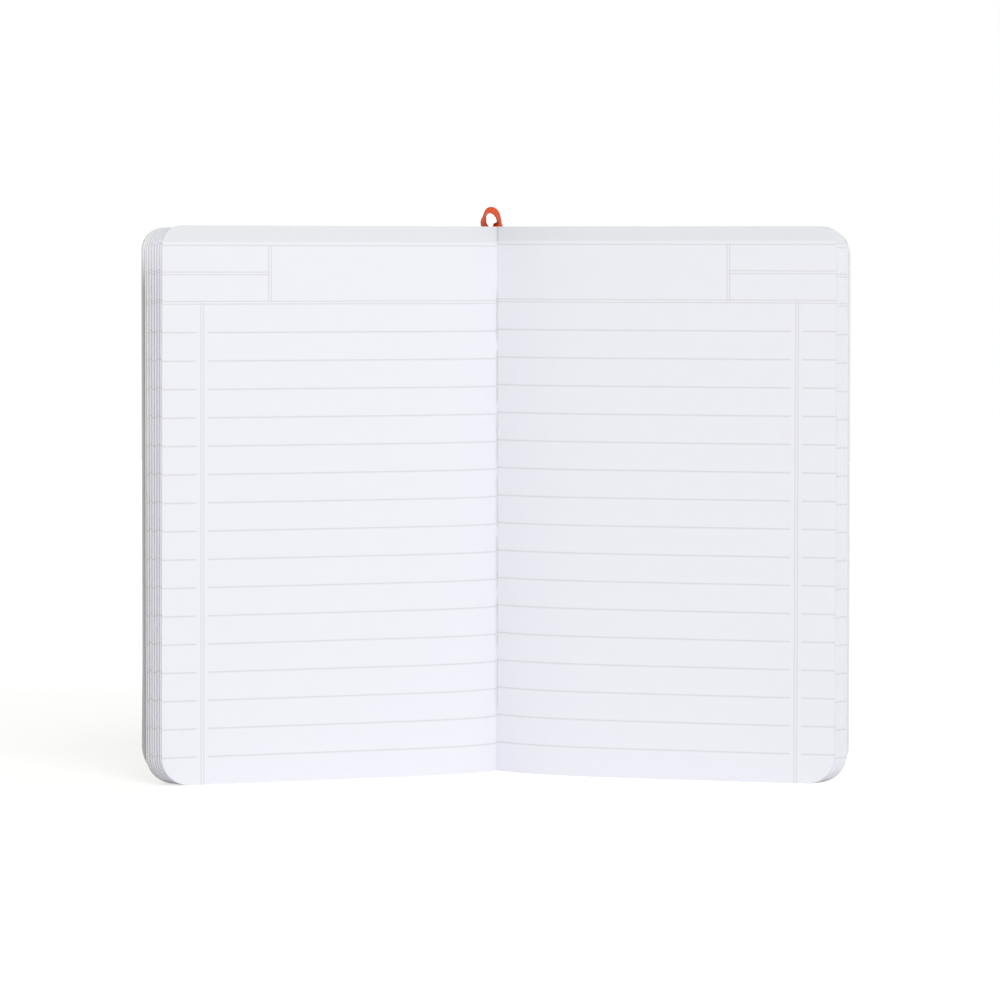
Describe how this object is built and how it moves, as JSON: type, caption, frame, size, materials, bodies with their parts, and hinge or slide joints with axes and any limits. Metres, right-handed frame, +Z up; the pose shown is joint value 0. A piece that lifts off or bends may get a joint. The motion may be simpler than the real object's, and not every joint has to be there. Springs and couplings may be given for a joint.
{
  "type": "open pocket notebook",
  "caption": "Pocket notebook standing open on its foot: bowed ruled pages sewn in signatures, a soft card cover with rounded corners and a ribbon loop at the head.",
  "frame": {"origin": "foot of the open fold, in the middle of the spread, on the surface that the notebook stands on", "axes": "+X to the reader's right along the spread, +Y away from the reader towards the spine, +Z up along the fold from the foot to the head"},
  "size_m": [0.178, 0.0394, 0.1455],
  "materials": {
    "ruled_paper": "matte white paper printed with grey rules",
    "endpaper": "matte plain paper",
    "thread": "waxed sewing thread",
    "lining": "glued cloth lining",
    "ribbon": "red-orange satin",
    "cover_card": "smooth matte light grey card"
  },
  "bodies": {
    "pages_and_spine": {"page_block": "ruled_paper", "front_flyleaf": "endpaper", "back_flyleaf": "endpaper", "sewing_thread": "thread", "spine_lining": "lining", "ribbon_bookmark": "ribbon", "spine_cover": "cover_card"},
    "front_board": {"front_cover": "cover_card", "front_pastedown": "endpaper"},
    "back_board": {"back_cover": "cover_card", "back_pastedown": "endpaper"}
  },
  "joints": [
    {"name": "front_cover_swing", "type": "hinge", "parent": "pages_and_spine", "child": "front_board", "pos_m": [-0.00519, 0.00405, 0.07], "axis": [0, 0, -1], "range_deg": [0, 100]},
    {"name": "back_cover_swing", "type": "hinge", "parent": "pages_and_spine", "child": "back_board", "pos_m": [0.00416, 0.00402, 0.07], "axis": [0, 0, 1], "range_deg": [0, 100]}
  ]
}
